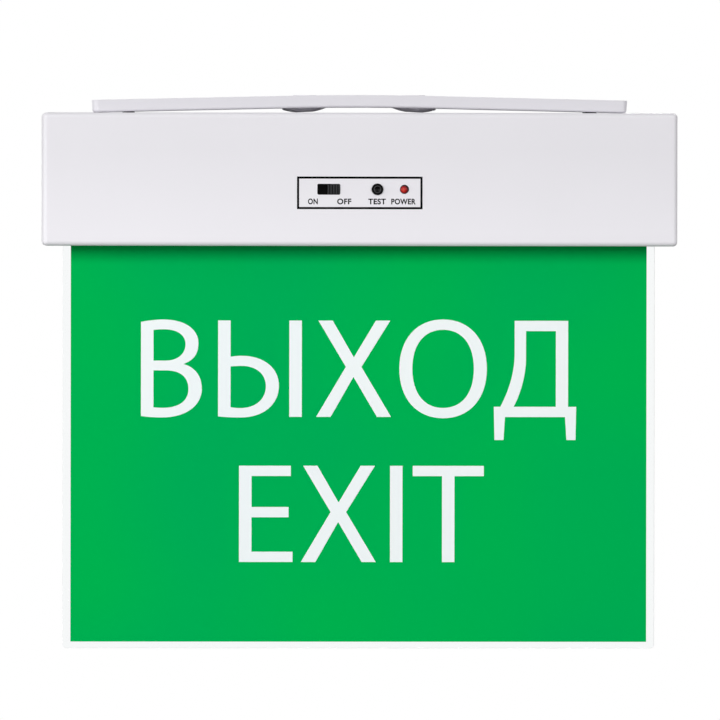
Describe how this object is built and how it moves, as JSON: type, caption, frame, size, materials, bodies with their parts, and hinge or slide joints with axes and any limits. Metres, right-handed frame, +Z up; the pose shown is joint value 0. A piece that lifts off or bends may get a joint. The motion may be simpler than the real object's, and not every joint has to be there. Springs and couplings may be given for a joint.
{
  "type": "emergency exit light",
  "caption": "Ceiling-hung emergency exit light: white battery housing on a bowed mounting plate, slide switch, test button and lamp, with a clear edge-lit panel carrying green sign films.",
  "frame": {"origin": "on the ceiling plane, midway between the two fixing holes of the mounting plate", "axes": "+Z up towards the ceiling, X along the housing, -Y out of the face with the controls"},
  "size_m": [0.35, 0.0512, 0.3055],
  "materials": {
    "white_abs": "satin moulded ABS",
    "clear_acrylic": "polished clear acrylic",
    "green_film": "satin printed film",
    "black_nylon": "moulded nylon",
    "black_abs": "satin moulded ABS",
    "red_lens": "clear red epoxy lens",
    "zinc_steel": "bright zinc plate",
    "extruded_aluminium": "mill finish",
    "circuit_board": "solder mask",
    "white_board": "white solder mask",
    "chip_white": "phosphor and white case",
    "core_steel": "laminated steel",
    "copper_winding": "enamelled copper wire",
    "capacitor_sleeve": "shrink sleeve",
    "grey_terminal": "moulded polyamide",
    "fuse_glass": "glass tube with plated caps",
    "battery_wrap": "shrink wrap"
  },
  "bodies": {
    "housing": {"mounting_plate": "white_abs", "plate_clips": "black_nylon", "front_shell": "white_abs", "rear_cover": "white_abs", "cover_screws": "zinc_steel", "sign_panel": "clear_acrylic", "front_film": "green_film", "rear_film": "green_film", "led_channel": "extruded_aluminium", "led_strip_board": "white_board", "led_chips": "chip_white", "control_board": "circuit_board", "control_board_screws": "zinc_steel", "switch_body": "zinc_steel", "test_switch_body": "black_abs", "power_led": "red_lens", "led_spacer": "black_nylon", "driver_board": "circuit_board", "driver_board_screws": "zinc_steel", "transformer_core": "core_steel", "transformer_coil": "copper_winding", "capacitors": "capacitor_sleeve", "terminal_block": "grey_terminal", "terminal_screws": "zinc_steel", "fuse": "fuse_glass", "fuse_clips": "zinc_steel", "battery_pack": "battery_wrap", "battery_strap": "white_abs", "battery_strap_screws": "zinc_steel", "cable_clamp": "white_abs", "cable_clamp_screws": "zinc_steel"},
    "switch_slider": {"switch_knob": "black_abs"},
    "test_push": {"test_button": "black_abs", "test_plunger": "black_nylon"}
  },
  "joints": [
    {"name": "switch_slide", "type": "slide", "parent": "housing", "child": "switch_slider", "axis": [1, 0, 0], "range_m": [-0.0055, 0]},
    {"name": "test_press", "type": "slide", "parent": "housing", "child": "test_push", "axis": [0, 1, 0], "range_m": [0, 0.0012], "stiffness_N_per_m": 800, "springref_m": -0.0003}
  ]
}
